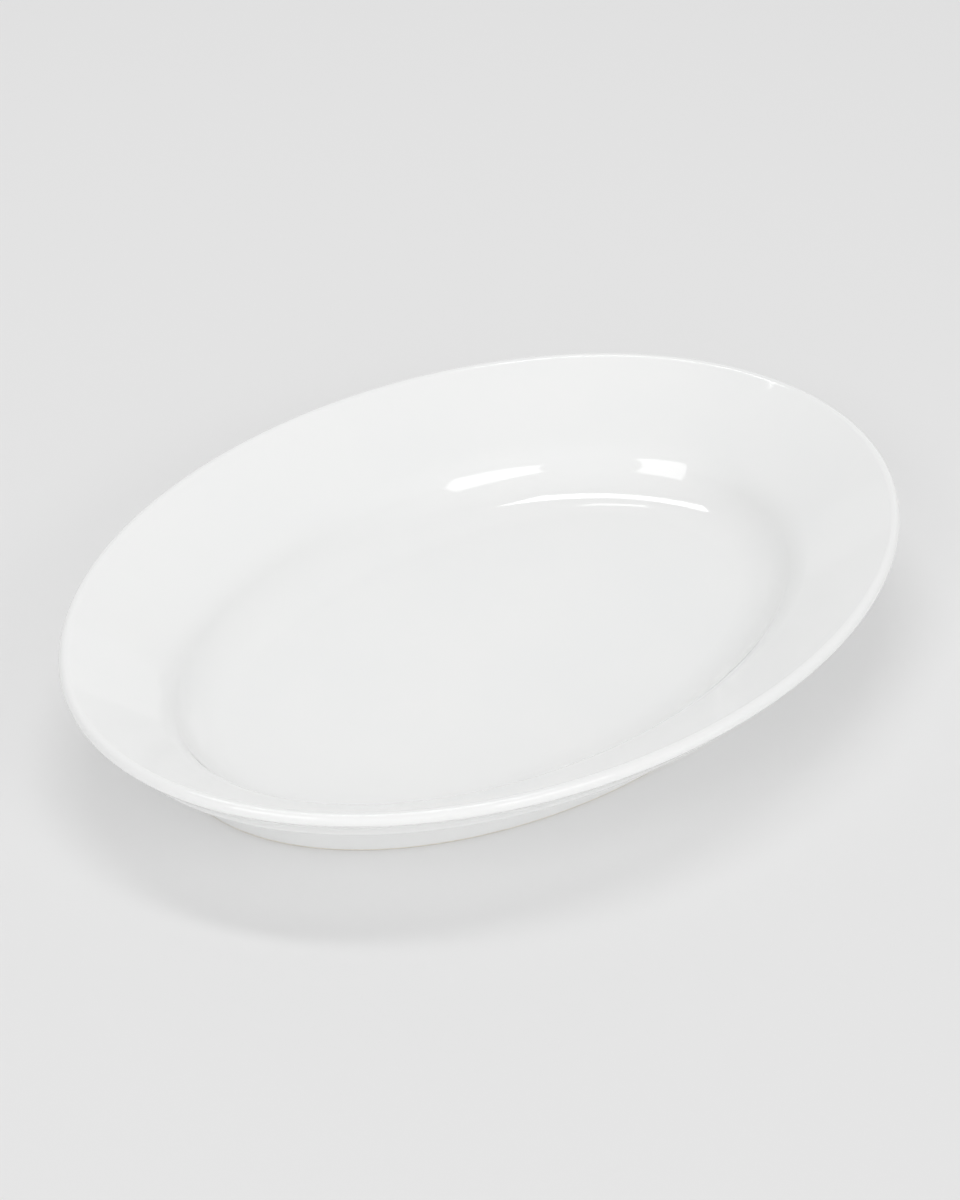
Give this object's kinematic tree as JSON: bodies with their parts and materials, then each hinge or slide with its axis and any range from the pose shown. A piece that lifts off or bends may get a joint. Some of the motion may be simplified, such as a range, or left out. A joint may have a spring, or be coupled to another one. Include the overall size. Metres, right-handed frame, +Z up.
{
  "type": "serving platter",
  "caption": "Plain white oval china serving platter with a sloping rim, a rounded edge with a roll beneath it, a flat-bottomed well and a foot ring to stand on.",
  "frame": {"origin": "centre of the oval, on the surface the foot stands on", "axes": "+X along the oval's long axis, +Y along its short axis, +Z up out of the well"},
  "size_m": [0.4, 0.293, 0.051],
  "materials": {
    "porcelain": "fired white clay, bare and fine-grained on the ring of the foot",
    "glaze": "clear glossy glaze over white clay"
  },
  "bodies": {
    "root": {"porcelain_body": "porcelain", "face_glaze": "glaze", "recess_glaze": "glaze"}
  },
  "joints": []
}
